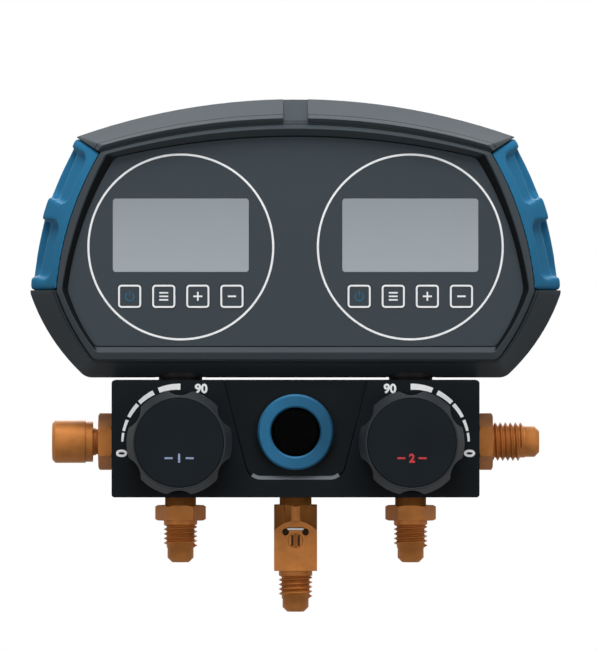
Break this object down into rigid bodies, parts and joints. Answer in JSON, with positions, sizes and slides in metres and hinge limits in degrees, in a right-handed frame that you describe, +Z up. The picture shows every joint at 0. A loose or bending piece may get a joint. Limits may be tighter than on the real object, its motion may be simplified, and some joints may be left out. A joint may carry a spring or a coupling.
{
  "type": "refrigerant manifold gauge",
  "caption": "Digital refrigerant manifold gauge: a faceted display head with side grips on a machined valve block with quarter-turn knobs, a sight glass and brass flare ports.",
  "frame": {"origin": "on the service port's axis, at the outer end of its thread", "axes": "+Z up, +X along the block towards the high-pressure side, the displays and knobs face -Y"},
  "size_m": [0.1728, 0.056, 0.1669],
  "materials": {
    "case_plastic": "fine matte moulded plastic",
    "hook_plastic": "matte moulded plastic",
    "grip_rubber": "soft matte rubber",
    "plate_film": "satin printed film",
    "display_window": "clear window",
    "lcd_glass": "display glass, switched off",
    "key_film": "satin printed film",
    "silicone": "silicone rubber",
    "board": "circuit board",
    "steel": "machined steel",
    "spring_steel": "nickel plated spring steel",
    "battery_wrap": "plain printed sleeve",
    "black_anodised": "black anodised, fine matte",
    "blue_anodised": "blue anodised, satin",
    "sight_glass": "clear glass",
    "seal_rubber": "nitrile rubber",
    "black_plastic": "matte black",
    "ptfe": "PTFE",
    "brass": "machined brass",
    "knob_plastic": "matte moulded plastic",
    "knob_cap_plastic": "matte moulded plastic"
  },
  "bodies": {
    "gauge": {"ball_seats": "ptfe", "batteries": "battery_wrap", "battery_contacts": "spring_steel", "battery_springs": "spring_steel", "board_screws": "steel", "case_screws": "steel", "display_lenses": "display_window", "face_plate": "plate_film", "front_shell": "case_plastic", "grip_left": "grip_rubber", "grip_right": "grip_rubber", "high_bonnet": "brass", "high_port": "brass", "high_sensor": "steel", "hook_pin": "steel", "keypad": "silicone", "lcd_left": "lcd_glass", "lcd_right": "lcd_glass", "low_bonnet": "brass", "low_port": "brass", "low_sensor": "steel", "main_board": "board", "manifold_body": "black_anodised", "rear_shell": "case_plastic", "sensor_collars": "black_anodised", "sensor_nuts": "steel", "service_pin": "brass", "service_port": "brass", "side_port_left": "brass", "side_port_right": "brass", "sight_glass_insert": "black_plastic", "sight_glass_lens": "sight_glass", "sight_glass_ring": "blue_anodised", "sight_glass_seal": "seal_rubber", "stem_seals": "seal_rubber"},
    "low_valve": {"low_knob": "knob_plastic", "low_knob_cap": "knob_cap_plastic", "low_knob_screw": "steel", "low_stem": "steel", "low_ball": "steel"},
    "high_valve": {"high_knob": "knob_plastic", "high_knob_cap": "knob_cap_plastic", "high_knob_screw": "steel", "high_stem": "steel", "high_ball": "steel"},
    "side_cap": {"port_cap": "brass", "cap_seal": "seal_rubber"},
    "service_valve": {"service_spindle": "brass", "service_ball": "steel"},
    "hook": {"hanging_hook": "hook_plastic"},
    "door": {"battery_door": "case_plastic"},
    "left_menu_key": {"key_left_menu": "key_film"},
    "left_minus_key": {"key_left_minus": "key_film"},
    "left_plus_key": {"key_left_plus": "key_film"},
    "left_power_key": {"key_left_power": "key_film"},
    "right_menu_key": {"key_right_menu": "key_film"},
    "right_minus_key": {"key_right_minus": "key_film"},
    "right_plus_key": {"key_right_plus": "key_film"},
    "right_power_key": {"key_right_power": "key_film"}
  },
  "joints": [
    {"name": "low_valve_turn", "type": "hinge", "parent": "gauge", "child": "low_valve", "pos_m": [-0.0375, 0, 0.0509], "axis": [0, 1, 0], "range_deg": [0, 90]},
    {"name": "high_valve_turn", "type": "hinge", "parent": "gauge", "child": "high_valve", "pos_m": [0.0375, 0, 0.0509], "axis": [0, -1, 0], "range_deg": [0, 90]},
    {"name": "service_valve_turn", "type": "hinge", "parent": "gauge", "child": "service_valve", "pos_m": [0, 0, 0.0188], "axis": [0, 1, 0], "range_deg": [0, 90]},
    {"name": "side_cap_pull", "type": "slide", "parent": "gauge", "child": "side_cap", "axis": [-1, 0, 0], "range_m": [0, 0.014]},
    {"name": "hook_swing", "type": "hinge", "parent": "gauge", "child": "hook", "pos_m": [0, 0.017, 0.151], "axis": [1, 0, 0], "range_deg": [0, 180]},
    {"name": "door_pull", "type": "slide", "parent": "gauge", "child": "door", "axis": [0, 1, 0], "range_m": [0, 0.012]},
    {"name": "left_menu_key_press", "type": "slide", "parent": "gauge", "child": "left_menu_key", "axis": [0, 1, 0], "range_m": [0, 0.0005], "stiffness_N_per_m": 400},
    {"name": "left_minus_key_press", "type": "slide", "parent": "gauge", "child": "left_minus_key", "axis": [0, 1, 0], "range_m": [0, 0.0005], "stiffness_N_per_m": 400},
    {"name": "left_plus_key_press", "type": "slide", "parent": "gauge", "child": "left_plus_key", "axis": [0, 1, 0], "range_m": [0, 0.0005], "stiffness_N_per_m": 400},
    {"name": "left_power_key_press", "type": "slide", "parent": "gauge", "child": "left_power_key", "axis": [0, 1, 0], "range_m": [0, 0.0005], "stiffness_N_per_m": 400},
    {"name": "right_menu_key_press", "type": "slide", "parent": "gauge", "child": "right_menu_key", "axis": [0, 1, 0], "range_m": [0, 0.0005], "stiffness_N_per_m": 400},
    {"name": "right_minus_key_press", "type": "slide", "parent": "gauge", "child": "right_minus_key", "axis": [0, 1, 0], "range_m": [0, 0.0005], "stiffness_N_per_m": 400},
    {"name": "right_plus_key_press", "type": "slide", "parent": "gauge", "child": "right_plus_key", "axis": [0, 1, 0], "range_m": [0, 0.0005], "stiffness_N_per_m": 400},
    {"name": "right_power_key_press", "type": "slide", "parent": "gauge", "child": "right_power_key", "axis": [0, 1, 0], "range_m": [0, 0.0005], "stiffness_N_per_m": 400}
  ]
}
